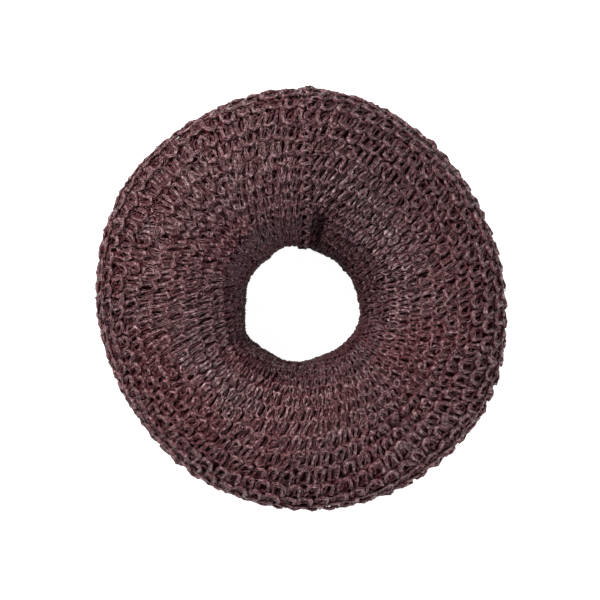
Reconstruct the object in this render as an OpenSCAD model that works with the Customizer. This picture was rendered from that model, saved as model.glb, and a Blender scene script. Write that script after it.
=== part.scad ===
// Hair donut: a ring of coarse knitted net, rolled on itself, that a ponytail is pulled through
// and rolled over to fill out a bun. It lies flat: +Z is up along the hole, and +Y points about
// to the sewn seam, which is just past twelve o'clock seen from above. The origin is the middle
// of the ring on the surface that it lies on. Millimetres and degrees.

/* [Ring] */
// Distance across the ring, outer edge to outer edge
ring_d = 90; // [70:1:140]
// Distance across the hole in the middle
hole_d = 24.6; // [15:0.2:40]
// Height of the ring as it lies
ring_h = 29; // [18:0.5:40]
// How far its own weight presses the round underside flat
settle = 2; // [1:0.1:4]
// How far the hole's middle lies to the right of the ring's
hole_x = 0.3; // [-3:0.1:3]
// How far the hole's middle lies towards the seam from the ring's
hole_y = -1.3; // [-4:0.1:4]

/* [Sleeve] */
// Thickness of the knitted wall of the outer turn
sleeve_wall = 1.4; // [1:0.1:3]
// Clear space between the outer turn and the turns rolled up inside it
wrap_gap = 0.3; // [0.2:0.05:0.8]

/* [Open meshes] */
// Meshes side by side all the way round the ring
meshes_round = 60; // [36:2:64]
// Staggered rows of meshes that are cut right through the wall
open_rows = 2; // [1:1:2]
// Length of one mesh, measured round the section
mesh_h = 4.4; // [3:0.1:6]
// Width of the bars of yarn between two openings
bar_w = 1.1; // [0.8:0.1:1.8]
// Where the open rows lie: degrees round the section, from the outer edge upwards
open_at = 45; // [0:1:60]

/* [Seam] */
// Width of the sewn seam, along the ring
seam_w = 1.8; // [1.2:0.1:5]
// How far the seam stands proud of the sleeve at the outer edge and in the hole
seam_proud = 0.8; // [0.3:0.1:2.5]
// Clear space between the seam and the ends of the roll
seam_gap = 0.3; // [0.2:0.05:0.8]
// Where the seam lies: degrees anticlockwise from three o'clock
seam_at = 87.5; // [80:0.5:100]

/* [Hidden] */

// Meshes on either side of the seam over which the ends make room for it
end_meshes = 4;
// Wide rows of the skin, outside the open meshes
wide_rows = 18;

// The ring's outline. Shares: outer edge of ring_d / 2, hole edge of hole_d / 2, height of ring_h.
// The rows are evenly spaced, anticlockwise from three o'clock.
RIM_COLUMNS = ["azimuth", "outer", "hole", "height"];
RIM = [
    [0, 0.975, 0.97, 0.97],
    [30, 0.96, 0.95, 0.96],
    [60, 0.985, 0.95, 0.98],
    [90, 1.005, 0.97, 1.00],
    [120, 1.005, 1.05, 0.99],
    [150, 1.02, 1.02, 0.98],
    [180, 1.00, 1.01, 0.97],
    [210, 0.985, 1.11, 0.96],
    [240, 1.005, 1.04, 0.98],
    [270, 1.02, 0.97, 0.99],
    [300, 1.03, 0.95, 0.97],
    [330, 1.025, 1.02, 0.98],
];

// Valleys and swellings of the soft ring. The middle is an azimuth and an angle round the
// section, the reaches are degrees along the ring and round the section, and the depth is a
// share of ring_h, below nothing where the ring swells.
// Columns: azimuth, section angle, reach along, reach round, depth.
FOLDS = [
    [152, 96, 34, 30, 0.050],
    [312, 80, 36, 28, 0.045],
    [76, 142, 16, 40, 0.045],
    [30, 62, 16, 24, 0.030],
    [255, 46, 14, 22, 0.025],
    [205, 60, 18, 24, 0.025],
    [255, 104, 26, 30, -0.020],
    [128, 40, 26, 34, -0.025],
    [335, 128, 24, 30, -0.020],
    [110, 80, 16, 44, -0.010],
];

// How far the ends stand from the seam's middle
end_room = seam_w / 2 + seam_gap;
// Square across the seam, clockwise round the ring
ACROSS = [sin(seam_at), -cos(seam_at), 0];
// Half of the tube's width, on average
tube_half_w = (ring_d - hole_d) / 4;
// Half of the tube's height before it is pressed flat
tube_half_h = (ring_h + settle) / 2;
// Step between rows among the open meshes, in degrees round the section
open_step = mesh_h / (tube_half_w + tube_half_h) * 180 / PI;
// Steps with open meshes, and the even number of all steps round the section
open_steps = open_rows + 1;
all_steps = open_steps + wide_rows + open_steps % 2;
wide_step = (360 - open_steps * open_step) / (all_steps - open_steps);

// Width of one mesh where the open rows lie, and the distance between its two opposite sides
mesh_w = PI * (ring_d - 2 * tube_half_w * (1 - cos(open_at))) / meshes_round;
mesh_across = mesh_w * mesh_h / norm([mesh_w, mesh_h]);
// Share of a mesh that is open
open_share = 1 - bar_w / mesh_across;

// Steps of the seam's crown. Columns: place across its width, share of seam_proud.
SEAM_CROWN = [
    [-1, 0],
    [-0.6, 0.75],
    [0, 1],
    [0.6, 0.75],
    [1, 0],
];

function total(v, i = 0) = i < len(v) ? v[i] + total(v, i + 1) : 0;
function wrapped(i, n) = (i % n + n) % n;
function turn(a) = wrapped(a + 180, 360) - 180;

// A smooth curve through four values, f of the way from the second to the third
function through(a, b, c, d, f) =
    b + f / 2 * (c - a + f * (2 * a - 5 * b + 4 * c - d + f * (3 * (b - c) + d - a)));

// The named share of the outline at an azimuth
function rim(name, az) =
    let (
        column = search([name], RIM_COLUMNS)[0],
        n = len(RIM),
        u = az * n / 360,
        i = floor(u),
        v = [for (k = [-1:2]) RIM[wrapped(i + k, n)][column]]
    )
    through(v[0], v[1], v[2], v[3], u - i);

// A soft dip: 1 in the middle, 0 from the edge of its reach outwards
function dip(x) = x >= 1 ? 0 : pow(1 - x * x, 2);
function fold_depth(az, t) =
    ring_h * total([
        for (f = FOLDS)
            f[4] * dip(norm([turn(az - f[0]) / f[2], turn(t - f[1]) / f[3]]))
    ]);

// A point of the ring, depth below its outer surface. The angle t runs round the section from
// the outer edge, over the top to the hole and back below.
function skin(az, t, depth) =
    let (
        outer = ring_d / 2 * rim("outer", az),
        hole = hole_d / 2 * rim("hole", az) + hole_x * cos(az) + hole_y * sin(az),
        half_w = (outer - hole) / 2,
        half_h = (ring_h * rim("height", az) + settle) / 2,
        inset = depth + fold_depth(az, t),
        r = (outer + hole) / 2 + (half_w - inset) * cos(t),
        z = half_h - settle + (half_h - inset) * sin(t)
    )
    [r * cos(az), r * sin(az), max(z, depth, 0)];

// The same point at a share s of the way round from the seam, with room made for the seam
function roll(s, t, depth) =
    let (end_share = end_meshes / meshes_round)
    skin(seam_at + 360 * s, t, depth)
    + end_room * (max(0, 1 - (1 - s) / end_share) - max(0, 1 - s / end_share)) * ACROSS;

// Angle of row j round the section: close rows among the open meshes, wide ones elsewhere
function row_angle(j) =
    open_at - open_steps * open_step / 2
    + min(j, open_steps) * open_step
    + max(0, j - open_steps) * wide_step;

// The skin is a net of diamond meshes. Even rows have a knot at each whole place, odd rows at
// each half place, and all rows have one at both ends.
function is_odd(j) = j % 2 == 1;
function knots(j) = meshes_round + (is_odd(j) ? 2 : 1);
function place(j, c) = is_odd(j) ? min(max(c - 0.5, 0), meshes_round) : c;
function knot(j, c) =
    let (row = wrapped(j, all_steps))
    floor(row / 2) * (2 * meshes_round + 3) + (is_odd(row) ? meshes_round + 1 : 0) + c;
skin_knots = all_steps / 2 * (2 * meshes_round + 3);

function skin_points(depth) = [
    for (j = [0:all_steps - 1], c = [0:knots(j) - 1])
        roll(place(j, c) / meshes_round, row_angle(j), depth)
];

// A mesh's knots: left, above, right, below. On odd rows the first and last are half a mesh,
// whose left or right knot lies on the end.
function mesh(j, k) =
    let (shift = is_odd(j) ? 0 : 1)
    [knot(j, k), knot(j + 1, k + shift), knot(j, k + 1), knot(j - 1, k + shift)];
function is_open(j, k) = j > 0 && j <= open_rows && (!is_odd(j) || k > 0 && k < meshes_round);
MESHES = [
    for (j = [0:all_steps - 1], k = [0:meshes_round - (is_odd(j) ? 0 : 1)])
        [j, k]
];
OPENINGS = [for (m = MESHES) if (is_open(m[0], m[1])) m];

// A mesh's own corners, drawn in to its opening
function opening_points(depth) = [
    for (m = OPENINGS)
        let (
            middle = m[1] + (is_odd(m[0]) ? 0 : 0.5),
            half = 0.5 * open_share,
            t = row_angle(m[0])
        )
        for (corner = [[-1, 0], [0, 1], [1, 0], [0, -1]])
            roll(
                (middle + corner[0] * half) / meshes_round,
                t + corner[1] * open_share * open_step,
                depth
            )
];

function flipped(face) = [for (i = [len(face) - 1:-1:0]) face[i]];
function moved(faces, by) = [for (f = faces) [for (p = f) p + by]];
function halves(q) = [[q[0], q[1], q[2]], [q[0], q[2], q[3]]];

// Faces of a skin that look outwards, whole or with its openings cut
function whole_mesh(m) = halves(mesh(m[0], m[1]));
function cut_mesh(m, first) =
    let (q = mesh(m[0], m[1]))
    [
        for (i = [0:3])
            each halves([q[i], q[(i + 1) % 4], first + (i + 1) % 4, first + i])
    ];
function skin_faces(cut) = [
    for (m = MESHES) if (!cut || !is_open(m[0], m[1])) each whole_mesh(m),
    if (cut) for (i = [0:len(OPENINGS) - 1]) each cut_mesh(OPENINGS[i], skin_knots + 4 * i)
];

// Walls between an outer and an inner skin, by a place in the lists of both
function opening_walls(inner) = [
    for (i = [0:len(OPENINGS) - 1], c = [0:3])
        let (a = skin_knots + 4 * i + c, b = skin_knots + 4 * i + (c + 1) % 4)
        each halves([a, b, b + inner, a + inner])
];
function end_walls(inner) = [
    for (j = [0:all_steps - 1])
        let (
            a = knot(j, 0),
            b = knot(j + 1, 0),
            c = knot(j, knots(j) - 1),
            d = knot(j + 1, knots(wrapped(j + 1, all_steps)) - 1)
        )
        each concat(
            halves([a, a + inner, b + inner, b]),
            halves([c, d, d + inner, c + inner])
        )
];

function seam_point(step, j) =
    let (
        t = row_angle(j),
        proud = seam_proud * step[1] * (1 + cos(t) * cos(t)) / 2
    )
    skin(seam_at, t, -proud) + step[0] * seam_w / 2 * ACROSS;
SEAM_POINTS = [for (step = SEAM_CROWN, j = [0:all_steps - 1]) seam_point(step, j)];

OUTSIDE = skin_points(0);
// The middle of the whole ring's box, where the origin goes
function middle(points, k) =
    (min([for (p = points) p[k]]) + max([for (p = points) p[k]])) / 2;
CENTRE = [for (k = [0:1]) middle(concat(OUTSIDE, SEAM_POINTS), k)];

module centred() {
    translate([-CENTRE[0], -CENTRE[1], 0]) children();
}

module net_sleeve() {
    outer = concat(OUTSIDE, opening_points(0));
    inner = concat(skin_points(sleeve_wall), opening_points(sleeve_wall));
    faces = skin_faces(true);
    color("#5b3d40") centred() polyhedron(
        concat(outer, inner),
        concat(
            faces,
            moved([for (f = faces) flipped(f)], len(outer)),
            opening_walls(len(outer)),
            end_walls(len(outer))
        )
    );
}

module rolled_padding() {
    color("#3a2225") centred() polyhedron(
        skin_points(sleeve_wall + wrap_gap),
        concat(
            skin_faces(false),
            [
                [for (j = [all_steps - 1:-1:0]) knot(j, 0)],
                [for (j = [0:all_steps - 1]) knot(j, knots(j) - 1)]
            ]
        )
    );
}

module seam() {
    n = all_steps;
    steps = len(SEAM_CROWN);
    color("#6b4a4d") centred() polyhedron(
        SEAM_POINTS,
        concat(
            [
                for (i = [0:steps - 2], j = [0:n - 1])
                    let (a = i * n + j, b = i * n + (j + 1) % n)
                    each halves([a, a + n, b + n, b])
            ],
            [
                [for (j = [0:n - 1]) j],
                [for (j = [n - 1:-1:0]) (steps - 1) * n + j]
            ]
        )
    );
}

net_sleeve();
rolled_padding();
seam();
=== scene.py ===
# %% [markdown]
# # A rolled-net hair donut
# A hair donut of this kind is a tube of coarse knitted nylon net, rolled on itself like a sock
# until it is a fat soft ring. A ponytail is pulled up through the hole and rolled over the ring.
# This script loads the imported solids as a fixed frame, and knits real yarn round them: three
# layers of it, from the rolled middle out to the loops that you see.

# %% Load the frame
import math

import bpy
import numpy as np
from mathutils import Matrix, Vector
from mathutils.bvhtree import BVHTree


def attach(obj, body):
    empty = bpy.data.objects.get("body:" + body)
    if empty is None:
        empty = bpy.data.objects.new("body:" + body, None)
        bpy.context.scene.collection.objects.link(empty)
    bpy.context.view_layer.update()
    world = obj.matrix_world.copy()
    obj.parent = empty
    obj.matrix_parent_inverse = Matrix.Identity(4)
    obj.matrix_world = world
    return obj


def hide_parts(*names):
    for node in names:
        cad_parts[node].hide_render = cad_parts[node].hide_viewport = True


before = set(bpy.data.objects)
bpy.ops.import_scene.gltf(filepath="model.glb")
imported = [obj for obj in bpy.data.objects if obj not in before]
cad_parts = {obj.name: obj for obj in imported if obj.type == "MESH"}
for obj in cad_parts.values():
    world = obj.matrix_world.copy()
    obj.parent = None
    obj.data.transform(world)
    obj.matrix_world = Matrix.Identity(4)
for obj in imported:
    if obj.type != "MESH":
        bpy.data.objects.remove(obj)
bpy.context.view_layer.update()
MM = 0.001

# %% [markdown]
# ## The camera
# The photograph looks straight down on the ring. A long lens half a metre above the tube's
# middle gives that view with little perspective. A wide lens close by would have shown more of
# the ring's flanks than the photograph has. The camera comes first, so that each later step can
# be looked at through it.

# %% Place the camera
PICTURE_W = 600
PIXELS_PER_MM = 4.63
VIEW_W = PICTURE_W / PIXELS_PER_MM * MM
CAMERA_UP = 0.52
TUBE_MIDDLE_Z = 13.5 * MM
VIEW_CENTRE = Vector((-0.2 * MM, -0.5 * MM, 0))
SENSOR_W = 36.0

camera_data = bpy.data.cameras.new("camera")
camera_data.sensor_width = SENSOR_W
camera_data.lens = SENSOR_W * (CAMERA_UP - TUBE_MIDDLE_Z) / VIEW_W
camera_data.clip_start = 0.01
camera = bpy.data.objects.new("camera", camera_data)
camera.location = VIEW_CENTRE + Vector((0, 0, CAMERA_UP))
bpy.context.scene.collection.objects.link(camera)
bpy.context.scene.camera = camera
print("lens", round(camera_data.lens, 1), "mm, picture", round(VIEW_W / MM, 1), "mm wide")

# %% [markdown]
# ## The light
# The photograph has the flat light of a shop picture: its highlights come from the upper left,
# and nothing is in deep shade. One big soft lamp stands there, a weaker and larger one faces it,
# and a pale surround fills the rest. A small lamp would give each strand a hard spark and a
# black shadow, and would hide the knit's own pattern.


# %% Hang the lamps
def soft_lamp(name, place, width, watts, tint):
    """A square area lamp that faces the ring."""
    data = bpy.data.lights.new(name, "AREA")
    data.size = width
    data.energy = watts
    data.color = tint
    lamp = bpy.data.objects.new(name, data)
    lamp.location = place
    lamp.rotation_euler = (-Vector(place)).to_track_quat("-Z", "Y").to_euler()
    bpy.context.scene.collection.objects.link(lamp)
    return lamp


# Each lamp's place, width in metres and power in watts
KEY_PLACE, KEY_WIDTH, KEY_WATTS = (-0.38, 0.42, 0.48), 0.20, 10.0
FILL_PLACE, FILL_WIDTH, FILL_WATTS = (0.42, -0.46, 0.40), 0.30, 5.4
WARM, COOL = (1.0, 0.98, 0.97), (0.97, 0.98, 1.0)
SURROUND = 0.29
soft_lamp("key_lamp", KEY_PLACE, KEY_WIDTH, KEY_WATTS, WARM)
soft_lamp("fill_lamp", FILL_PLACE, FILL_WIDTH, FILL_WATTS, COOL)

world = bpy.data.worlds.new("studio")
world.use_nodes = True
world.node_tree.nodes["Background"].inputs["Color"].default_value = (1, 1, 1, 1)
world.node_tree.nodes["Background"].inputs["Strength"].default_value = SURROUND
bpy.context.scene.world = world
bpy.context.scene.view_settings.view_transform = "Standard"
print("key to fill", round(KEY_WATTS / FILL_WATTS, 2), "to 1")

# %% [markdown]
# ## The ring's own skin
# A rolled tube of net is soft and a little uneven, and everything here is wrapped on that one
# soft surface. It could be typed again as a torus, but then the solid and the picture would
# drift apart. So rays are sent out from the middle of the tube, and find the rolled padding's
# skin at even steps round the ring and round its section. At the seam the padding ends, so the
# few rows there are filled in from the rows beside them.

# %% Measure the padding with rays
# Where the seam is, and how far from it the padding's rows are left out, in degrees
SEAM_AT = 87.5
SEAM_GAP = 5.0
# Rays round the ring and round its section, and the tube's middle from the ring's
NET_AROUND = 60
NET_SECTION = 24
RING_HALF = 29.0 * MM


def tree_of(node):
    """A search tree of a CAD node's triangles."""
    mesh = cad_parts[node].data
    corners = [v.co.copy() for v in mesh.vertices]
    return BVHTree.FromPolygons(corners, [tuple(p.vertices) for p in mesh.polygons])


def measure_skin(node):
    """Points of the node's skin on an even grid of azimuths and section angles."""
    tree = tree_of(node)
    net = np.full((NET_AROUND, NET_SECTION, 3), np.nan)
    for i in range(NET_AROUND):
        azimuth = 360 * i / NET_AROUND
        out = Vector((math.cos(math.radians(azimuth)), math.sin(math.radians(azimuth)), 0))
        start = out * RING_HALF + Vector((0, 0, TUBE_MIDDLE_Z))
        outer, hole = tree.ray_cast(start, out)[0], tree.ray_cast(start, -out)[0]
        if outer is None or hole is None or abs(azimuth - SEAM_AT) < SEAM_GAP:
            continue
        middle = (outer + hole) / 2
        for j in range(NET_SECTION):
            angle = math.radians(360 * j / NET_SECTION)
            way = out * math.cos(angle) + Vector((0, 0, math.sin(angle)))
            net[i, j] = tree.ray_cast(middle, way)[0]
    return net


def fill_gap(net):
    """Fills the rows at the seam, where the padding ends, from the rows beside them."""
    rows = np.arange(NET_AROUND)
    good = ~np.isnan(net[:, 0, 0])
    for j in range(NET_SECTION):
        for k in range(3):
            column = net[:, j, k]
            net[:, j, k] = np.interp(rows, rows[good], column[good], period=NET_AROUND)
    return net, int((~good).sum())


HITS, filled = fill_gap(measure_skin("rolled_padding"))
print("skin net", HITS.shape, "rows filled at the seam:", filled)

# %% [markdown]
# ## A smooth surface through the hits
# The solid is faceted, and yarn laid on facets would show their edges. A cubic B-spline surface
# is smooth everywhere and needs only a grid of control points. It doesn't pass through them, so
# the control points are moved a few times by what the surface still misses, until it runs
# through the measured hits.

# %% Fit the surface
FITTING_ROUNDS = 6
# The padding's skin lies this far below the sleeve's outer skin
PADDING_DEPTH = 1.7 * MM


def spread(net):
    """What a B-spline makes of its control points: each mixed 1 : 4 : 1 with its neighbours."""
    for axis in (0, 1):
        net = (np.roll(net, 1, axis) + 4 * net + np.roll(net, -1, axis)) / 6
    return net


def cubic(f):
    """The four weights of a cubic B-spline at f, and their slopes."""
    middle_left = (3 * f**3 - 6 * f**2 + 4) / 6
    middle_right = (-3 * f**3 + 3 * f**2 + 3 * f + 1) / 6
    weights = (1 - f) ** 3 / 6, middle_left, middle_right, f**3 / 6
    slopes = -((1 - f) ** 2) / 2, (3 * f**2 - 4 * f) / 2, (-3 * f**2 + 2 * f + 1) / 2, f**2 / 2
    return weights, slopes


def on_ring(azimuth, angle, depth):
    """Points depth below the sleeve's outer skin, and the skin's normals. Degrees and metres."""
    u = np.asarray(azimuth) / 360 * NET_AROUND
    v = np.asarray(angle) / 360 * NET_SECTION
    iu, iv = np.floor(u).astype(int), np.floor(v).astype(int)
    (wu, su), (wv, sv) = cubic(u - iu), cubic(v - iv)
    point, along, across = 0, 0, 0
    for a in range(4):
        for b in range(4):
            knot = SKIN_NET[(iu + a - 1) % NET_AROUND, (iv + b - 1) % NET_SECTION]
            point = point + (wu[a] * wv[b])[..., None] * knot
            along = along + (su[a] * wv[b])[..., None] * knot
            across = across + (wu[a] * sv[b])[..., None] * knot
    normal = np.cross(along, across)
    normal /= np.linalg.norm(normal, axis=-1, keepdims=True)
    return point + normal * (PADDING_DEPTH - np.asarray(depth))[..., None], normal


SKIN_NET = HITS.copy()
for _ in range(FITTING_ROUNDS):
    SKIN_NET += HITS - spread(SKIN_NET)
print("left to fit:", round(float(np.abs(HITS - spread(SKIN_NET)).max() / MM), 3), "mm")
azimuths = np.arange(0.0, 360.0, 5.0)
edge, _ = on_ring(azimuths, 0 * azimuths, 0 * azimuths)
edge_away = np.linalg.norm(edge[:, :2], axis=1) / MM
print("the outer edge is", round(edge_away.min(), 1), "to", round(edge_away.max(), 1),
      "mm from the middle")

# %% [markdown]
# ## The knit
# The net is a coarse weft knit. Its rows of loops are called courses and its columns wales. One
# yarn runs all the way round the ring in each course, and makes one loop in each wale. The
# loops' heads and feet lie outside as round arcs, and the legs between them lie deeper. One sine
# wave with a bulge draws this loop well: it goes up and down once, swings sideways twice, and
# goes in and out twice for each stitch. Knitting it from separate curves would give the same
# look, but a joint in each loop. The same number of wales goes round the outer edge and round
# the hole, so they are open rounds outside and crowd into fine strokes inside. Each other course
# sits half a wale aside, so that the openings lie in diagonal rows like a honeycomb.

# %% Sizes of the knit
WALES = 74
COURSES = 34
# Share of a course: how far a loop reaches into the next one
LOOP_REACH = 1.20
# Share of a wale: how far a loop slants
SLANT = 0.16
# Share of a wale: how far each other course is moved aside. Wales: how soon, from the seam
STAGGER = 0.5
STAGGER_GROWS = 3.0
# How far one side of a slanting loop stands above the other
LEG_TILT = 0.20 * MM
# The loops change round the section, from 0 at the outer edge over 90 on top to 180 in the hole.
# swell and pinch are shares of a wale: how far a head bulges, and how far its legs are drawn in
# or, below 0, stand apart. weave and lift are millimetres: how far heads and feet stand above
# the legs, and heads above feet. thick is the outer yarn's thickness and thick_below that of the
# turn below it, both as shares of the full size. uneven is how far a loop strays: a share of a
# wale or of a course, or millimetres in and out.
LOOP_COLUMNS = [
    "section_angle", "swell", "pinch", "weave", "lift", "thick", "thick_below", "uneven"]
LOOP_SHAPES = [
    (0, 0.09, -0.10, 0.20, 0.14, 1.14, 0.78, 0.07),
    (28, 0.09, -0.11, 0.30, 0.36, 1.14, 0.72, 0.07),
    (50, 0.12, -0.08, 0.32, 0.38, 1.10, 0.78, 0.08),
    (80, 0.22, 0.08, 0.32, 0.36, 1.04, 0.92, 0.10),
    (110, 0.19, 0.10, 0.28, 0.32, 0.92, 0.87, 0.10),
    (140, 0.21, 0.06, 0.28, 0.22, 0.80, 0.70, 0.14),
    (165, 0.23, 0.04, 0.16, 0.08, 0.84, 0.76, 0.13),
    (190, 0.25, 0.02, 0.07, 0.03, 0.92, 0.77, 0.05),
    (230, 0.20, 0.08, 0.20, 0.20, 0.90, 0.81, 0.08),
    (300, 0.24, 0.03, 0.18, 0.25, 1.06, 0.85, 0.10),
    (340, 0.16, -0.06, 0.15, 0.10, 1.12, 0.78, 0.10),
]
print("each turn of the net has", WALES * COURSES, "loops")

# %% [markdown]
# ## Where the courses and wales lie
# A net that is rolled into a ring can't be even. Its courses are pulled apart on the outer edge
# and pushed together in the hole, and one side is stretched more than the other. Two functions
# turn a share of all the courses, or of all the wales, into an angle, so that every layer
# follows the same lines. Equal steps would be simpler, but then the openings would look as
# regular as a grid.

# %% Courses and wales
# Courses are further apart on the outer edge than in the hole: degrees of shift round the section
COURSE_SHIFT = 18.0
# and on top they are closer at some azimuths than at others: degrees of shift
SPACING_COLUMNS = ["azimuth", "shift"]
SPACING = [(0, 5), (60, 0), (120, -3), (200, -5), (250, -12), (285, -5), (320, 7)]
# The wales are wider on one side of the ring than on the other: share of a wale, and where
WIDER = 0.05
WIDEST_AT = 20.0


def from_table(columns, rows, name, angle):
    """A column of a table, between its rows, at an angle in degrees."""
    angles, values = [[row[columns.index(n)] for row in rows] for n in (columns[0], name)]
    return np.interp(angle, angles, values, period=360)


def course_angle(share, azimuth):
    """Section angle, in degrees, at a share of all the courses."""
    shift = from_table(SPACING_COLUMNS, SPACING, "shift", azimuth)
    wave = 2 * np.pi * share
    return 360 * share + COURSE_SHIFT * np.sin(wave) + shift * np.cos(wave)


def wale_azimuth(share):
    """Azimuth, in degrees, at a share of all the wales. It starts and ends at the seam."""
    azimuth = SEAM_AT + 360 * share
    widened = np.sin(np.radians(azimuth - WIDEST_AT))
    widened -= math.sin(math.radians(SEAM_AT - WIDEST_AT))
    return azimuth + math.degrees(WIDER) * widened


WALE_W = 2 * math.pi * edge_away.mean() / WALES
print("a wale is", round(WALE_W, 2), "mm wide at the outer edge")

# %% [markdown]
# ## Soft unevenness
# Nothing in a hand-rolled net is even. Rows drift, loops differ, and one side of the ring is
# more tangled than the rest. A few slow waves with seeded random sizes give a drift without
# jumps, because white noise on each point would only make the yarn tremble. A smooth bump marks
# the places where something is stronger than elsewhere.


# %% Drift and tangle
# The drift's waves, and how many of them fit round the ring and round its section at most
DRIFT_WAVES = 9
MOST_AROUND = 6
MOST_SECTION = 3


def soft_field(seed, amount):
    """A smooth random field over the ring: a function of azimuth and section angle in degrees."""
    rng = np.random.default_rng(seed)
    terms = []
    for _ in range(DRIFT_WAVES):
        around = rng.integers(1, MOST_AROUND + 1)
        section = rng.integers(-MOST_SECTION, MOST_SECTION + 1)
        phase = rng.uniform(0, 2 * np.pi)
        terms.append((around, section, phase, rng.normal()))
    size = amount / math.sqrt(sum(weight**2 for *_, weight in terms) / 2)

    def field(azimuth, angle):
        a, t = np.radians(azimuth), np.radians(angle)
        return size * sum(w * np.sin(m * a + n * t + p) for m, n, p, w in terms)

    return field


def bump(angle, at, width):
    """1 at one angle, and 0 some widths away from it, all in degrees."""
    return np.exp(-((((angle - at) + 180) % 360 - 180) / width) ** 2)


# The usual drift of a row, in degrees round the ring and round its section, and the seeds
DRIFT_AROUND, DRIFT_SECTION = 0.8, 2.0
AROUND_SEED, SECTION_SEED = 11, 12
drift_around = soft_field(AROUND_SEED, DRIFT_AROUND)
drift_section = soft_field(SECTION_SEED, DRIFT_SECTION)
# Where round the ring the net is tangled, and how far that reaches, in degrees
TANGLE_AT = 147.0
TANGLE_WIDTH = 40.0
# There the loops stray more, the bundles are thinner and the strands wander more, by these shares
TANGLE = 0.7
THINNED = 0.20
LOOSE = 0.75
print("drift round the section, degrees:", np.round(drift_section(np.arange(0, 360, 90), 90), 1))

# %% [markdown]
# ## What sewing does to the net
# The two ends of the roll are sewn together. The stitches pull the net: a low ridge stands up
# on the outer edge, and beside it, above the hole, the net is drawn in to a deep pinch. The
# loops next to the seam are pulled slanting. A separate modelled fold would look stuck on, so
# the pull moves the surface that both turns of net lie on.

# %% The seam's pull
# Round the section: millimetres that the net stands up at the seam, and degrees to each side
SEAM_COLUMNS = ["section_angle", "rise"]
SEAM_RELIEF = [(0, 1.0), (60, 0.35), (120, -0.3), (155, -1.0), (180, 0.1), (240, 0.2), (320, 0.5)]
SEAM_SPREAD = 5.0
# The pinch: its azimuth and section angle, its width in each, in degrees, and its depth
PINCH_AT = (79.5, 149.0)
PINCH_WIDTH = (7.0, 21.0)
PINCH = 2.7 * MM
# The ends of the roll make room for the stitches over this share of the way round
ROOM = 0.45 * MM
ROOM_SHARE = 1 / 15
# The pulled loops. Columns: how much they lean, degrees from the seam, degrees to each side.
PULLS = [(-1.5, -15, 13), (0.9, 12, 12)]
# Where round the section they are pulled most, and how far that reaches, in degrees
PULLED_AT = 130.0
PULLED_WIDTH = 55.0


def seam_rise(azimuth, angle):
    """How far the net stands up beside the seam."""
    ridge = from_table(SEAM_COLUMNS, SEAM_RELIEF, "rise", angle) * MM
    pinched = bump(azimuth, PINCH_AT[0], PINCH_WIDTH[0]) * bump(angle, PINCH_AT[1], PINCH_WIDTH[1])
    return ridge * bump(azimuth, SEAM_AT, SEAM_SPREAD) - PINCH * pinched


def lean_at(azimuth, angle):
    """How strongly the loops lean away from the radius."""
    pulled = sum(lean * bump(azimuth, SEAM_AT + away, width) for lean, away, width in PULLS)
    return np.cos(2 * np.radians(azimuth)) + pulled * bump(angle, PULLED_AT, PULLED_WIDTH)


def room_at_seam(share):
    """How far the yarn is moved sideways at the two ends, to leave the stitches their place."""
    late, early = 1 - (1 - share) / ROOM_SHARE, 1 - share / ROOM_SHARE
    return ROOM * (np.clip(late, 0, 1) - np.clip(early, 0, 1))


SEAM_WAY = np.array([math.sin(math.radians(SEAM_AT)), -math.cos(math.radians(SEAM_AT)), 0])
print("the seam's ridge is", SEAM_RELIEF[0][1], "mm high and the pinch", PINCH / MM, "mm deep")

# %% [markdown]
# ## The hole's soft corners
# The rolled net is tight in the hole, and its edge there is a rounded hexagon and no circle. The
# solids have a plainer hole. So the net stands a little further in along the sides and a little
# further out in the corners. A short table round the ring says how far, and a wide bump keeps it
# to the hole's side of the tube. Moving points by hand in edit mode would do for one layer, but
# both turns of net have to follow.

# %% The hole's corners
# Millimetres that the net stands further into the hole
HOLE_COLUMNS = ["azimuth", "inward"]
HOLE_SHAPE = [(0, 0.70), (45, 0.70), (75, 0.60), (90, -0.30), (105, -0.20), (130, 0.80),
              (150, 0.0), (165, -0.40), (180, 0.0), (195, 0.30), (213, -0.15), (240, 0.25),
              (255, -0.40), (270, -0.45), (287, 0.30), (300, 0.05), (320, 0.50), (332, 0.60),
              (345, 0.25)]
# Where round the section the hole is, and how far its shape reaches from there, in degrees
HOLE_SIDE = 180.0
HOLE_WIDTH = 50.0


def hole_rise(azimuth, angle):
    """How far the net stands further into the hole."""
    inward = from_table(HOLE_COLUMNS, HOLE_SHAPE, "inward", azimuth) * MM
    return inward * bump(angle, HOLE_SIDE, HOLE_WIDTH)


def net_rise(azimuth, angle):
    """How far the net stands above the solids' own form, beside the seam and in the hole."""
    return seam_rise(azimuth, angle) + hole_rise(azimuth, angle)


inwards = [inward for _, inward in HOLE_SHAPE]
print("in the hole the net stands", min(inwards), "to", max(inwards), "mm further in")

# %% [markdown]
# ## How the loops stray
# No two loops of a stretched net are alike. Each loop's head and foot get a seeded stray of
# their own: across, up, and in or out. Along the yarn the stray passes smoothly from foot to
# head, so the loops differ but the yarn still runs on. A new random step at each point would
# make a crinkle and not a crooked loop.


# %% The strays
def loop_strays(rng, turn, uneven, tangled):
    """How far the yarn strays, where turn counts its loops: in wales, in courses, and in mm."""
    heads, feet = rng.normal(0, 1, (2, WALES + 2, 3))
    loop = np.minimum(turn.astype(int), WALES - 1)
    theta = 2 * np.pi * turn
    near = np.where(theta % (2 * np.pi) < np.pi, loop, loop + 1)
    up = ((1 + np.cos(theta)) / 2)[:, None]
    stray = (heads[near] * up + feet[loop] * (1 - up)) * uneven[:, None]
    stray[:, :2] *= (1 + TANGLE * tangled)[:, None]
    return stray


edge_uneven = from_table(LOOP_COLUMNS, LOOP_SHAPES, "uneven", 0)
print("on the outer edge a loop strays by about", round(edge_uneven * WALE_W, 2), "mm sideways")

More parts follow.
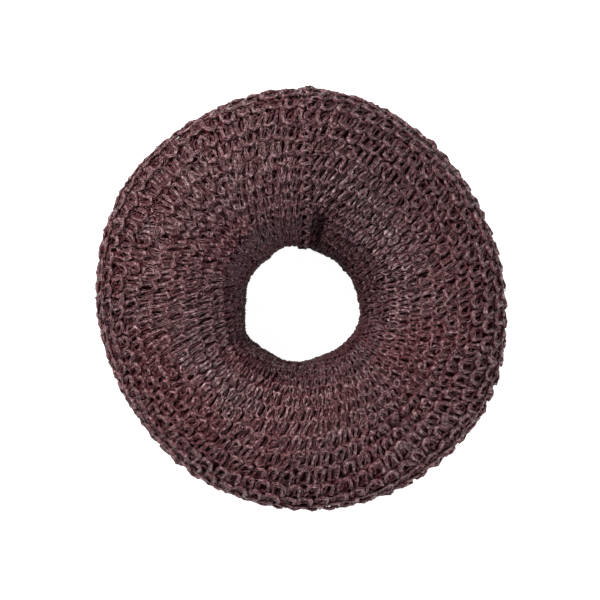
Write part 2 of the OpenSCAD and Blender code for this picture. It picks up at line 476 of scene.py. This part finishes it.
# %% [markdown]
# ## One course of loops
# This is the heart of the script: the middle line of one course's yarn, all the way round. It is
# worked out as shares of a wale and of a course, given each loop's own stray, then laid on the
# ring's skin with a depth that follows the weave. The turn of net below uses the same function
# with another seed, half a wale aside and lying flatter, as two turns of a roll never match.

# %% A course's middle line
# Each turn: its first seed, its depth in metres, its start in courses and in wales, its relief,
# and its yarn's thickness as a column of LOOP_SHAPES
OUTER_TURN = {"seed": 1000, "depth": 0.60 * MM, "lead": 0.0, "aside": 0.0, "relief": 1.0,
              "thick": "thick"}
INNER_TURN = {"seed": 2000, "depth": 1.00 * MM, "lead": 0.10, "aside": 0.5, "relief": 0.6,
              "thick": "thick_below"}


def course_path(course, points, turn_of_net):
    """The middle line of one course's yarn, the skin's normals there, and the yarn's thickness."""
    rng = np.random.default_rng(turn_of_net["seed"] + course)
    turn = np.arange(WALES * points + 1) / points
    theta = 2 * np.pi * turn
    middle = SEAM_AT + 360 * turn / WALES
    section = course_angle((course + 0.5) / COURSES, middle)
    swell, pinch, weave, lift, uneven, thick = [
        from_table(LOOP_COLUMNS, LOOP_SHAPES, name, section)
        for name in ("swell", "pinch", "weave", "lift", "uneven", turn_of_net["thick"])]
    lean = lean_at(middle, section)
    tangled = bump(middle, TANGLE_AT, TANGLE_WIDTH)

    stray = loop_strays(rng, turn, uneven, tangled)

    # The loop's place, in wales across and in courses up
    across = turn + swell * np.sin(2 * theta) - pinch * np.sin(theta) - SLANT * lean * np.cos(theta)
    from_ends = np.minimum(turn, WALES - turn)
    stagger = STAGGER * (course % 2) * np.clip(from_ends / STAGGER_GROWS, 0, 1)
    across += turn_of_net["aside"] + stagger
    share = np.clip((across + stray[:, 0]) / WALES, 0, 1)
    height = course + 0.5 + turn_of_net["lead"] + LOOP_REACH / 2 * np.cos(theta) + stray[:, 1]
    azimuth = wale_azimuth(share)
    angle = course_angle(height / COURSES, azimuth)
    drifted = azimuth + drift_around(azimuth, angle) * np.sin(np.pi * share) ** 0.5
    angle = angle + drift_section(azimuth, angle)

    # Its depth: heads and feet stand up, legs lie deeper, and a leaning loop is tilted
    rise = (weave * np.cos(2 * theta) + lift * np.cos(theta)) * MM - LEG_TILT * lean * np.sin(theta)
    depth = turn_of_net["depth"] - turn_of_net["relief"] * rise + stray[:, 2] * MM
    centre, normal = on_ring(drifted, angle, depth - net_rise(drifted, angle))
    centre += room_at_seam(share)[:, None] * SEAM_WAY
    return centre, normal, thick * (1 - THINNED * tangled)


first_course, _, _ = course_path(0, 1, OUTER_TURN)
print("the first course runs round from", (first_course[0] / MM).round(1), "to",
      (first_course[-1] / MM).round(1), "mm, with the seam between")

# %% [markdown]
# ## How much yarn that takes
# The length of its yarn is a good check of a knit, because a wrong loop shows in it at once: a
# loop on the outer edge should take about three times its own width. It is added up along a
# finer path than the one that is drawn, so that the corners cut by the few points don't count.

# %% Measure the yarn
FINE_POINTS = 24


def length_of(path):
    """The length of a path, in metres."""
    return float(np.linalg.norm(np.diff(path, axis=0), axis=1).sum())


for turn_of_net in (OUTER_TURN, INNER_TURN):
    lengths = [length_of(course_path(c, FINE_POINTS, turn_of_net)[0]) for c in range(COURSES)]
    print("a course takes", round(min(lengths), 2), "to", round(max(lengths), 2), "m of yarn,",
          "the turn", round(sum(lengths), 1), "m")

# %% [markdown]
# ## The yarn
# The yarn is textured nylon: many fine filaments, crinkled by heat so that they stand apart and
# stretch. A smooth tube would look like wire. Real filaments would be a hundred to a yarn, far
# too many. So each yarn is a lumpy bundle, two crinkled strands that wander over it and catch
# the light, and thin filaments that stray further and blur its edges. Each point of a strand is
# moved aside by a seeded random amount: that is the crinkle. Where the net is tangled, the
# strands wander further.

# %% Bundle, strands and stray filaments
# Points in each loop of a path
BUNDLE_POINTS = 8
STRAND_POINTS = 8
FUZZ_POINTS = 6
# The bundle, and how much its path and, as a share, its thickness vary
YARN_RADIUS = 0.34 * MM
CRINKLE = 0.06 * MM
LUMPS = 0.22
# The strands on each bundle, how far beside and above it they lie, and how much that varies
STRANDS = 2
STRAND_RADIUS = 0.17 * MM
STRAND_BESIDE = 0.18 * MM
STRAND_ABOVE = 0.22 * MM
STRAND_UNEVEN = 0.4
FUZZ_RADIUS = 0.06 * MM
FUZZ_BESIDE = 0.40 * MM


def lumpy(thick, rng):
    """The thickness with a seeded lump at each point."""
    return thick * np.exp(rng.normal(0, LUMPS, len(thick)))


def crinkled(centre, thick, seed):
    """The bundle's own path and thickness."""
    rng = np.random.default_rng(seed)
    return centre + rng.normal(0, CRINKLE, centre.shape), lumpy(thick, rng)


def strands(centre, normal, thick, count, reach, seed):
    """Strands that wander beside the bundle, as far as their reach, and over it."""
    along = np.gradient(centre, axis=0)
    along /= np.linalg.norm(along, axis=1, keepdims=True)
    side = np.cross(along, normal)
    side /= np.linalg.norm(side, axis=1, keepdims=True)
    azimuth = np.degrees(np.arctan2(centre[:, 1], centre[:, 0]))
    wander = thick * (1 + LOOSE * bump(azimuth, TANGLE_AT, TANGLE_WIDTH))
    rng = np.random.default_rng(seed)
    paths = []
    for k in range(count):
        beside = (rng.normal(0, 1, len(centre)) + (2 * k + 1) / count - 1) * reach * wander
        above = rng.normal(1, STRAND_UNEVEN, len(centre)) * STRAND_ABOVE * thick
        path = centre + beside[:, None] * side + above[:, None] * normal
        paths.append((path, lumpy(thick, rng)))
    return paths


print("the yarn is", round(2 * YARN_RADIUS / MM, 2), "mm thick, a strand",
      round(2 * STRAND_RADIUS / MM, 2), "mm")

# %% [markdown]
# ## From paths to tubes
# A curve with a bevel turns a path into a round tube, with its own thickness at each point. All
# the paths of one kind in one zone become a single mesh, as thousands of separate objects would
# be slow. The tubes are four-sided and smooth shaded: at a third of a millimetre nobody can
# count their sides, and a million triangles is the whole budget. A path is kept its own
# thickness above the ground, so that the ring rests on its yarn.


# %% Make a mesh of tubes
def deselect():
    """Selects nothing, so that an operator acts only on what is made next."""
    for o in bpy.context.selected_objects:
        o.select_set(False)


def yarn_piece(name, paths, radius):
    """One mesh of all the paths, each with its thickness along the way, with closed ends."""
    data = bpy.data.curves.new(name, "CURVE")
    data.dimensions = "3D"
    data.bevel_depth = radius
    data.bevel_resolution = 0
    data.use_fill_caps = True
    for path, thick in paths:
        path = np.c_[path[:, :2], np.maximum(path[:, 2], radius * thick)]
        spline = data.splines.new("POLY")
        spline.points.add(len(path) - 1)
        spline.points.foreach_set("co", np.c_[path, np.ones(len(path))].ravel())
        spline.points.foreach_set("radius", thick)
    piece = bpy.data.objects.new(name, data)
    bpy.context.scene.collection.objects.link(piece)
    deselect()
    bpy.context.view_layer.objects.active = piece
    piece.select_set(True)
    bpy.ops.object.convert(target="MESH")
    piece = bpy.context.view_layer.objects.active
    bpy.ops.object.shade_smooth()
    print(name, "has", triangles_of(piece), "triangles")
    return piece


def triangles_of(piece):
    """How many triangles a mesh object has."""
    return sum(len(p.vertices) - 2 for p in piece.data.polygons)


# Four sides of two triangles each
TRIANGLES_A_POINT = 8
print("a course's bundle takes about", TRIANGLES_A_POINT * WALES * BUNDLE_POINTS, "triangles")

# %% [markdown]
# ## Knit the outer turn
# The outer turn is the net that you see. It is made in zones, from the outer edge over the top
# and through the hole to the underside, because each zone takes its own finish: the yarn is
# bright and fluffy on top, and in the hole, where little light falls and the loops are packed
# tight, it is flat and its tones are painted dark, as painted shade. One single mesh would be too
# heavy, and one for each loop far too many.

# %% The zones of the outer turn
# Columns: name, first course, the one past the last, the finish of bundle and strands, the
# finish of the stray filaments, and how many of those there are beside each course's yarn.
# Every finish but outer is a darker copy of the same yarn: painted shade
PIECES = [
    ("edge", 0, 5, "outer", "outer", 4),
    ("top", 5, 8, "outer", "outer", 4),
    ("slope", 8, 11, "outer", "bundle", 3),
    ("lip", 11, 14, "bundle", "bundle", 2),
    ("hole", 14, 20, "inner", "core", 1),
    ("under", 20, 29, "outer", "bundle", 1),
    ("low_edge", 29, 34, "outer", "bundle", 1),
]
# Each layer's random draws have seeds of their own
BUNDLE_SEED, STRAND_SEED, FUZZ_SEED, INNER_SEED = 0, 100, 200, 300
outer_net = {}
for name, first, past, _, _, strays in PIECES:
    bundles, filaments, fuzz = [], [], []
    for course in range(first, past):
        centre, normal, thick = course_path(course, BUNDLE_POINTS, OUTER_TURN)
        bundles.append(crinkled(centre, thick, BUNDLE_SEED + course))
        centre, normal, thick = course_path(course, FUZZ_POINTS, OUTER_TURN)
        fuzz += strands(centre, normal, thick, strays, FUZZ_BESIDE, FUZZ_SEED + course)
        centre, normal, thick = course_path(course, STRAND_POINTS, OUTER_TURN)
        filaments += strands(centre, normal, thick, STRANDS, STRAND_BESIDE, STRAND_SEED + course)
    outer_net[name] = (yarn_piece(f"net_bundle_{name}", bundles, YARN_RADIUS),
                       yarn_piece(f"net_strands_{name}", filaments, STRAND_RADIUS),
                       yarn_piece(f"net_fuzz_{name}", fuzz, FUZZ_RADIUS))

# %% [markdown]
# ## Knit the turn below it
# Between the outer loops you look into the next turn of the roll. Where the outer holes are
# large its yarn shows as a dim second net, so it is knitted too, a little thicker and without
# strands or fuzz: that deep, nobody sees them. Its tones are painted darker, as the shade of the
# turn above it. A plain dark surface was the cheaper way, and made the ring look painted.

# %% One more turn
INNER_RADIUS = 0.42 * MM
paths = []
for course in range(COURSES):
    centre, _, thick = course_path(course, BUNDLE_POINTS, INNER_TURN)
    paths.append(crinkled(centre, thick, INNER_SEED + course))
inner_net = yarn_piece("inner_net", paths, INNER_RADIUS)

# %% [markdown]
# ## The roll under both
# The many turns further in can't be told apart. They are one closed body, painted dark as the
# shade deep in the roll, that keeps light from passing through the ring. A torus is moved onto
# the ring's skin point by point, with low bumps in the rhythm of the knit. Where the net is
# drawn in, it sinks with it, so that it doesn't come out between the loops.

# %% The roll
CORE_DEPTH = 1.50 * MM
CORE_BUMPS = 0.15 * MM
# The torus before it is moved: its faces round the ring and round the section, and its radii
CORE_AROUND, CORE_SECTION = 180, 72
TORUS_R, TORUS_TUBE_R = 0.03, 0.01
deselect()
bpy.ops.mesh.primitive_torus_add(major_segments=CORE_AROUND, minor_segments=CORE_SECTION,
                                 major_radius=TORUS_R, minor_radius=TORUS_TUBE_R)
core = bpy.context.view_layer.objects.active
core.name = "roll_core"
place = np.empty(len(core.data.vertices) * 3)
core.data.vertices.foreach_get("co", place)
place = place.reshape(-1, 3)
around = np.degrees(np.arctan2(place[:, 1], place[:, 0]))
section = np.degrees(np.arctan2(place[:, 2], np.linalg.norm(place[:, :2], axis=1) - TORUS_R))
bumps = np.cos(np.radians(around) * WALES) * np.cos(np.radians(section) * COURSES)
sunk = np.minimum(net_rise(around, section), 0)
moved, _ = on_ring(around, section, CORE_DEPTH + CORE_BUMPS * bumps - sunk)
core.data.vertices.foreach_set("co", moved.ravel())
core.data.update()
bpy.ops.object.shade_smooth()
print("roll_core has", triangles_of(core), "triangles")

# %% [markdown]
# ## Sew the seam
# The seam is a plain overcast one, sewn with the same yarn: it crosses from one end of the roll
# to the other and back, once a stitch, and dips into the net between. Its middle line is a
# sideways wave and an in-and-out wave of the same length, with each stitch a little wider or
# narrower than the last.

# %% The seam's stitches
SEAM_STITCHES = 34
WIDTH_SEED, SEAM_BUNDLE_SEED, SEAM_STRAND_SEED = 7, 400, 401
SEAM_POINTS = 14
SEAM_STRANDS = 3
SEAM_HALF_W = 0.8 * MM
SEAM_DEPTH = 0.45 * MM
SEAM_DIP = 0.30 * MM
STITCH_UNEVEN = 0.25
rng = np.random.default_rng(WIDTH_SEED)
turn = np.arange(SEAM_STITCHES * SEAM_POINTS + 1) / SEAM_POINTS
angle = 360 * turn / SEAM_STITCHES
azimuth = np.full(len(turn), SEAM_AT)
depth = SEAM_DEPTH - SEAM_DIP * np.sin(2 * np.pi * turn) - net_rise(azimuth, angle)
centre, normal = on_ring(azimuth, angle, depth)
widths = SEAM_HALF_W * (1 + rng.normal(0, STITCH_UNEVEN, SEAM_STITCHES + 1))
sway = widths[np.floor(turn).astype(int)] * np.cos(2 * np.pi * turn)
centre += sway[:, None] * SEAM_WAY
thick = np.full(len(turn), 1.0)
seam_bundle = yarn_piece("seam_bundle", [crinkled(centre, thick, SEAM_BUNDLE_SEED)], YARN_RADIUS)
paths = strands(centre, normal, thick, SEAM_STRANDS, STRAND_BESIDE, SEAM_STRAND_SEED)
seam_strands = yarn_piece("seam_strands", paths, STRAND_RADIUS)
print("the seam takes", round(length_of(centre), 2), "m of yarn")

# %% [markdown]
# ## The yarn's finish
# The real material is textured nylon 6 filament yarn, dyed a dark red brown. Each filament is
# smooth and has a soft gloss, but heat has crinkled it, so the eye gets a grain of small bright
# specks over darker tones instead of one long highlight; the specks are painted glints in the
# colour. The shader has nylon's refraction of 1.53, no metal, and a middle roughness. A noise
# picks between a dark, a middle and a light tone, the light one a painted glint, and a second
# one dents the surface. Hair nets wear and fade: large soft patches are a little greyer. The
# pulled net beside the seam is painted greyer and darker, as shade.


# %% Shader helpers
def linear(hex_colour):
    """An sRGB hex colour as the linear RGBA that the shaders read."""
    parts = [int(hex_colour[i : i + 2], 16) / 255 for i in (1, 3, 5)]
    return [c / 12.92 if c <= 0.04045 else ((c + 0.055) / 1.055) ** 2.4 for c in parts] + [1.0]


def noise_scale(millimetres):
    """The noise texture's scale that gives features of this size: it counts them in a metre."""
    return 1 / (millimetres * MM)


def add_node(material, kind, settings=None, inputs=None):
    """Adds a node, sets its properties and its inputs, and links inputs that are sockets."""
    node = material.node_tree.nodes.new(kind)
    for key, value in (settings or {}).items():
        setattr(node, key, value)
    for key, value in (inputs or {}).items():
        if isinstance(value, bpy.types.NodeSocket):
            material.node_tree.links.new(value, node.inputs[key])
        else:
            node.inputs[key].default_value = value
    return node


print("a 0.5 mm grain is scale", noise_scale(0.5))

# %% [markdown]
# ## The yarn's shader
# A filament is 0.03 mm thick, far less than a pixel of the render. So its grain is drawn as
# coarse as it needs to show: two thirds of a millimetre for the tones, and a little less for the
# dents. The worn patches are about a centimetre, as on a net that was handled. The painted shade
# beside the seam, greyer and darker, is set by the distance from one point, in the part's own
# coordinates. A painted picture could hold all this too, but noise needs no file and no
# unwrapping of thousands of strands.

# %% Tones, wear and painted shade
GRAIN_MM = 0.65
PATCHES_MM = 11.0
PATCH_DETAIL = 4.0
# Where the noise gives the dark, the middle and the light tone; the light tone is a painted glint
GRAIN_STOPS = (0.39, 0.55, 0.72)
# The noise between these values turns from fresh to faded, and what fading does to the colour
FADED_FROM, FADED_TO = 0.42, 0.60
FRESH_SATURATION, FADED_SATURATION = 1.01, 0.87
# Painted shade: the pulled net beside the seam is painted greyer and darker, as the pinch shades it
SEAM_SHADE_AT = (16 * MM, 25 * MM, 24 * MM)
SEAM_SHADE_REACH = 34 * MM
SEAM_SHADE_VALUE = 0.76


def grain_and_glint_ramp(material, factor, tones):
    """The dark and middle tones of the filaments, and a light tone that is a painted glint."""
    ramp = add_node(material, "ShaderNodeValToRGB", {}, {"Fac": factor})
    ramp.color_ramp.elements.new(0.5)
    for stop, place, tone in zip(ramp.color_ramp.elements, GRAIN_STOPS, tones):
        stop.position = place
        stop.color = linear(tone)
    return ramp


def faded_and_shaded_colour(material, places, colour):
    """The colour: greyer in faded patches, painted greyer and darker as shade by the seam."""
    patches = add_node(material, "ShaderNodeTexNoise", {}, {
        "Vector": places, "Scale": noise_scale(PATCHES_MM), "Detail": PATCH_DETAIL})
    faded = add_node(material, "ShaderNodeMapRange", {}, {
        "Value": patches.outputs["Fac"], "From Min": FADED_FROM, "From Max": FADED_TO})
    # Painted shade: near the seam's pinch the colour is painted greyer and darker
    apart = add_node(material, "ShaderNodeVectorMath", {"operation": "DISTANCE"}, {
        0: places, 1: SEAM_SHADE_AT})
    seam_shade = add_node(material, "ShaderNodeMapRange", {"interpolation_type": "SMOOTHSTEP"}, {
        "Value": apart.outputs["Value"], "From Min": SEAM_SHADE_REACH, "From Max": 0.0})
    greyer = add_node(material, "ShaderNodeMath", {"operation": "MAXIMUM"}, {
        0: faded.outputs["Result"], 1: seam_shade.outputs["Result"]})
    saturation = add_node(material, "ShaderNodeMapRange", {}, {
        "Value": greyer.outputs["Value"], "To Min": FRESH_SATURATION, "To Max": FADED_SATURATION})
    shade = add_node(material, "ShaderNodeMapRange", {}, {
        "Value": seam_shade.outputs["Result"], "To Min": 1.0, "To Max": SEAM_SHADE_VALUE})
    return add_node(material, "ShaderNodeHueSaturation", {}, {
        "Color": colour, "Saturation": saturation.outputs["Result"],
        "Value": shade.outputs["Result"]})


print("grain scale", round(noise_scale(GRAIN_MM)), "patch scale", round(noise_scale(PATCHES_MM)))

# %% [markdown]
# ## The whole yarn material
# The tones go into one shader with nylon's own gloss. The same grain drives colour and
# roughness: where it gives the light tone, a painted glint, the yarn is smoother, and where it
# gives the dark tone, rougher. A second, finer grain dents the surface, and a touch of pink sheen
# stands for the fluff that is too fine to model. Hair strands with a hair shader would be closer
# to the real fibres, but they don't export as a mesh.

# %% Textured nylon yarn
NYLON_IOR = 1.53
DENTS_MM = 0.45
DENT_DEPTH = 0.05 * MM
GRAIN_DETAIL = 2.0
SHEEN_ROUGHNESS = 0.5
SHEEN_TINT = "#c8a0a6"
# Between these values of the grain the yarn turns from rougher to smoother, and by how much
ROUGH_AT, SMOOTH_AT = 0.35, 0.65
ROUGHER, SMOOTHER = 0.15, 0.08


def nylon_yarn(name, tones, roughness, gloss, sheen):
    """Textured nylon yarn: a fine grain of painted glints along its strands, over darker tones."""
    material = bpy.data.materials.new(name)
    material.use_nodes = True
    shader = material.node_tree.nodes["Principled BSDF"]
    shader.inputs["IOR"].default_value = NYLON_IOR
    shader.inputs["Specular IOR Level"].default_value = gloss
    shader.inputs["Sheen Weight"].default_value = sheen
    shader.inputs["Sheen Roughness"].default_value = SHEEN_ROUGHNESS
    shader.inputs["Sheen Tint"].default_value = linear(SHEEN_TINT)
    places = add_node(material, "ShaderNodeTexCoord").outputs["Object"]
    grain = add_node(material, "ShaderNodeTexNoise", {}, {
        "Vector": places, "Scale": noise_scale(GRAIN_MM), "Detail": GRAIN_DETAIL}).outputs["Fac"]
    colour = faded_and_shaded_colour(material, places, grain_and_glint_ramp(material, grain, tones).outputs["Color"])
    material.node_tree.links.new(colour.outputs["Color"], shader.inputs["Base Color"])
    # The light tone's painted glints are made the glossier ones too
    shine = add_node(material, "ShaderNodeMapRange", {}, {
        "Value": grain, "From Min": ROUGH_AT, "From Max": SMOOTH_AT,
        "To Min": roughness + ROUGHER, "To Max": roughness - SMOOTHER})
    material.node_tree.links.new(shine.outputs["Result"], shader.inputs["Roughness"])
    dents = add_node(material, "ShaderNodeTexNoise", {}, {
        "Vector": places, "Scale": noise_scale(DENTS_MM), "Detail": GRAIN_DETAIL})
    relief = add_node(material, "ShaderNodeBump", {}, {
        "Height": dents.outputs["Fac"], "Strength": 1.0, "Distance": DENT_DEPTH})
    material.node_tree.links.new(relief.outputs["Normal"], shader.inputs["Normal"])
    return material


print("the specks are", round(ROUGHER + SMOOTHER, 2), "less rough than the gaps")

# %% [markdown]
# ## Five finishes of one yarn
# It is the same yarn everywhere, and four of its finishes are darker copies of the first: painted
# shade. In the open it is fluffed up and glossy. At the lip, in the seam's bundle and in some
# stray filaments its tones are painted darker. The turn below lies in the shade of the turn above
# it, and the hole is in deep shade, so their tones are painted darker still, with more roughness.
# The roll inside is painted as a dark, matt ground with no highlights of its own. So the tones
# darken and come closer together, the roughness grows and the gloss falls from one finish to the
# next. One material with a mask would need painting.

# %% The finishes
# Columns: key, the material's name, its dark, middle and light tones, roughness, gloss, sheen.
# In each finish the light tone is a painted glint
FINISH_ROWS = [
    ("outer", "textured_nylon_yarn", ("#380f15", "#5f363a", "#8d6f73"), 0.42, 0.40, 0.02),
    # The finishes from here on are painted shade: darker copies of the outer yarn
    ("bundle", "textured_nylon_drawn_tight", ("#2d0b11", "#46252a", "#63464b"), 0.45, 0.3, 0.02),
    ("under", "textured_nylon_rubbed_matt", ("#350a11", "#482127", "#543035"), 0.5, 0.2, 0.0),
    ("inner", "textured_nylon_pressed_flat", ("#2a0b0f", "#391b1f", "#432529"), 0.6, 0.2, 0.0),
    ("core", "rolled_nylon_net", ("#330a11", "#3d121a", "#471b23"), 0.7, 0.1, 0.0),
]
FINISHES = {finish: nylon_yarn(*values) for finish, *values in FINISH_ROWS}
print("finishes:", sorted(FINISHES))

# %% [markdown]
# ## The floor
# The photograph's background is pure white and has no shadow, as when a thing lies on a light
# table. Its top is milky acrylic, rough and even, lit from below. A little of its own light and
# a middle grey colour give that white without washing out the ring's dark underside.

# %% Light table
FLOOR_W = 3.0
FLOOR_LIGHT = 0.97
FLOOR_ROUGHNESS = 0.9
ACRYLIC_IOR = 1.49
light_table = bpy.data.materials.new("light_table_acrylic")
light_table.use_nodes = True
floor_shader = light_table.node_tree.nodes["Principled BSDF"]
floor_shader.inputs["Base Color"].default_value = linear("#909090")
floor_shader.inputs["Roughness"].default_value = FLOOR_ROUGHNESS
floor_shader.inputs["IOR"].default_value = ACRYLIC_IOR
floor_shader.inputs["Emission Color"].default_value = linear("#ffffff")
floor_shader.inputs["Emission Strength"].default_value = FLOOR_LIGHT

deselect()
bpy.ops.mesh.primitive_plane_add(size=FLOOR_W, location=(0, 0, 0))
floor = bpy.context.view_layer.objects.active
floor.name = "floor"
floor.data.materials.append(light_table)
print("floor", tuple(round(side, 2) for side in floor.dimensions), "m")

# %% [markdown]
# ## Tie the yarn to the frame
# The yarn now takes the place of the plain solids: the outer turn that of the sleeve, the turn
# below it and the roll that of the padding, and the stitches that of the seam. Each piece rides
# on the frame's root, as the donut has no moving parts.

# %% Replace the solids
TIES = [(core, "core", "rolled_padding", "rolled_net"),
        (inner_net, "under", "rolled_padding", "rolled_net"),
        (seam_bundle, "bundle", "seam", "seam_yarn"),
        (seam_strands, "outer", "seam", "seam_yarn")]
for name, _, _, yarn_finish, fuzz_finish, _ in PIECES:
    for piece, finish in zip(outer_net[name], (yarn_finish, yarn_finish, fuzz_finish)):
        TIES.append((piece, finish, "net_sleeve", "net_yarn"))
for piece, finish, node, slot in TIES:
    piece.data.materials.append(FINISHES[finish])
    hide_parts(node)
    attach(piece, "root")
counts = [triangles_of(piece) for piece, *_ in TIES]
print(len(TIES), "pieces,", sum(counts), "triangles in all, at most", max(counts), "in one")
